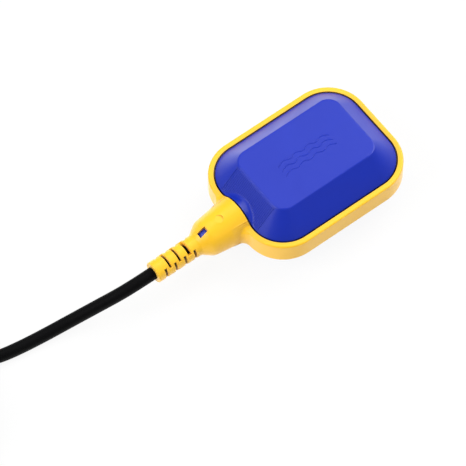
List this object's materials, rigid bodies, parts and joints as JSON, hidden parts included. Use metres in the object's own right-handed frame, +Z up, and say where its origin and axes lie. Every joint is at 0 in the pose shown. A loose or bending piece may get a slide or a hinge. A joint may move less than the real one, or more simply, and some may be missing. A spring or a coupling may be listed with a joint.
{
  "type": "float level switch",
  "caption": "Cable float level switch: blue two-part float in a yellow guard with a slotted strain relief, a rolling ball working a snap switch inside, and a bare-ended lead.",
  "frame": {"origin": "centre of the lower flat face, on which the float rests", "axes": "+X along the cable axis towards the nose, away from the cable; +Y across the float; +Z up, square to the flat faces"},
  "size_m": [0.4253, 0.1152, 0.0424],
  "materials": {
    "blue_shell": "satin moulded polypropylene",
    "yellow_guard": "satin flexible moulded thermoplastic elastomer",
    "cable_sheath": "matte extruded rubber",
    "seal_rubber": "matte moulded rubber",
    "steel": "bright steel",
    "ball_steel": "polished steel",
    "capsule_plastic": "natural moulded plastic",
    "switch_plastic": "black phenolic moulding",
    "plunger_plastic": "red moulded acetal",
    "brass": "stamped brass",
    "brown_core": "extruded brown PVC",
    "blue_core": "extruded blue PVC",
    "black_core": "extruded black PVC",
    "tie_nylon": "woven black strap",
    "tinned_copper": "tinned copper strands"
  },
  "bodies": {
    "float": {"upper_shell": "blue_shell", "lower_shell": "blue_shell", "guard_frame": "yellow_guard", "cable_entry": "cable_sheath", "cable_seal": "seal_rubber", "seal_washer": "steel", "cable_clamp": "capsule_plastic", "clamp_screws": "steel", "capsule_tray": "capsule_plastic", "capsule_lid": "capsule_plastic", "capsule_screws": "steel", "switch_case": "switch_plastic", "switch_cover": "switch_plastic", "switch_screws": "steel", "common_terminal": "brass", "open_contact": "brass", "closed_contact": "brass", "receptacles": "brass", "lever_pin": "steel", "core_brown": "brown_core", "core_black": "black_core", "core_blue": "blue_core", "cable": "cable_sheath", "cable_coil": "cable_sheath", "coil_ties": "tie_nylon", "cable_end": "cable_sheath", "tail_brown": "brown_core", "tail_blue": "blue_core", "tail_black": "black_core", "tinned_ends": "tinned_copper"},
    "ball": {"ball": "ball_steel"},
    "lever": {"switch_lever": "steel"},
    "plunger": {"switch_plunger": "plunger_plastic"},
    "blade": {"contact_blade": "brass"}
  },
  "joints": [
    {"name": "ball_roll", "type": "slide", "parent": "float", "child": "ball", "axis": [-1, 0, 0], "range_m": [0, 0.01]},
    {"name": "lever_turn", "type": "hinge", "parent": "float", "child": "lever", "pos_m": [-0.0019, -0.011, 0.0212], "axis": [0, 0, 1], "range_deg": [0, 16], "stiffness_Nm_per_rad": 0.003},
    {"name": "plunger_press", "type": "slide", "parent": "float", "child": "plunger", "axis": [-1, 0, 0], "range_m": [0, 0.00146]},
    {"name": "blade_turn", "type": "hinge", "parent": "float", "child": "blade", "pos_m": [-0.0115, 0.005, 0.0212], "axis": [0, 0, -1], "range_deg": [0, 7.6]}
  ],
  "couplings": [
    {"joint": "lever_turn", "follows": "ball_roll", "rad_per_m": 27.925},
    {"joint": "plunger_press", "follows": "ball_roll", "ratio": 0.145},
    {"joint": "blade_turn", "follows": "ball_roll", "rad_per_m": 13.1}
  ]
}
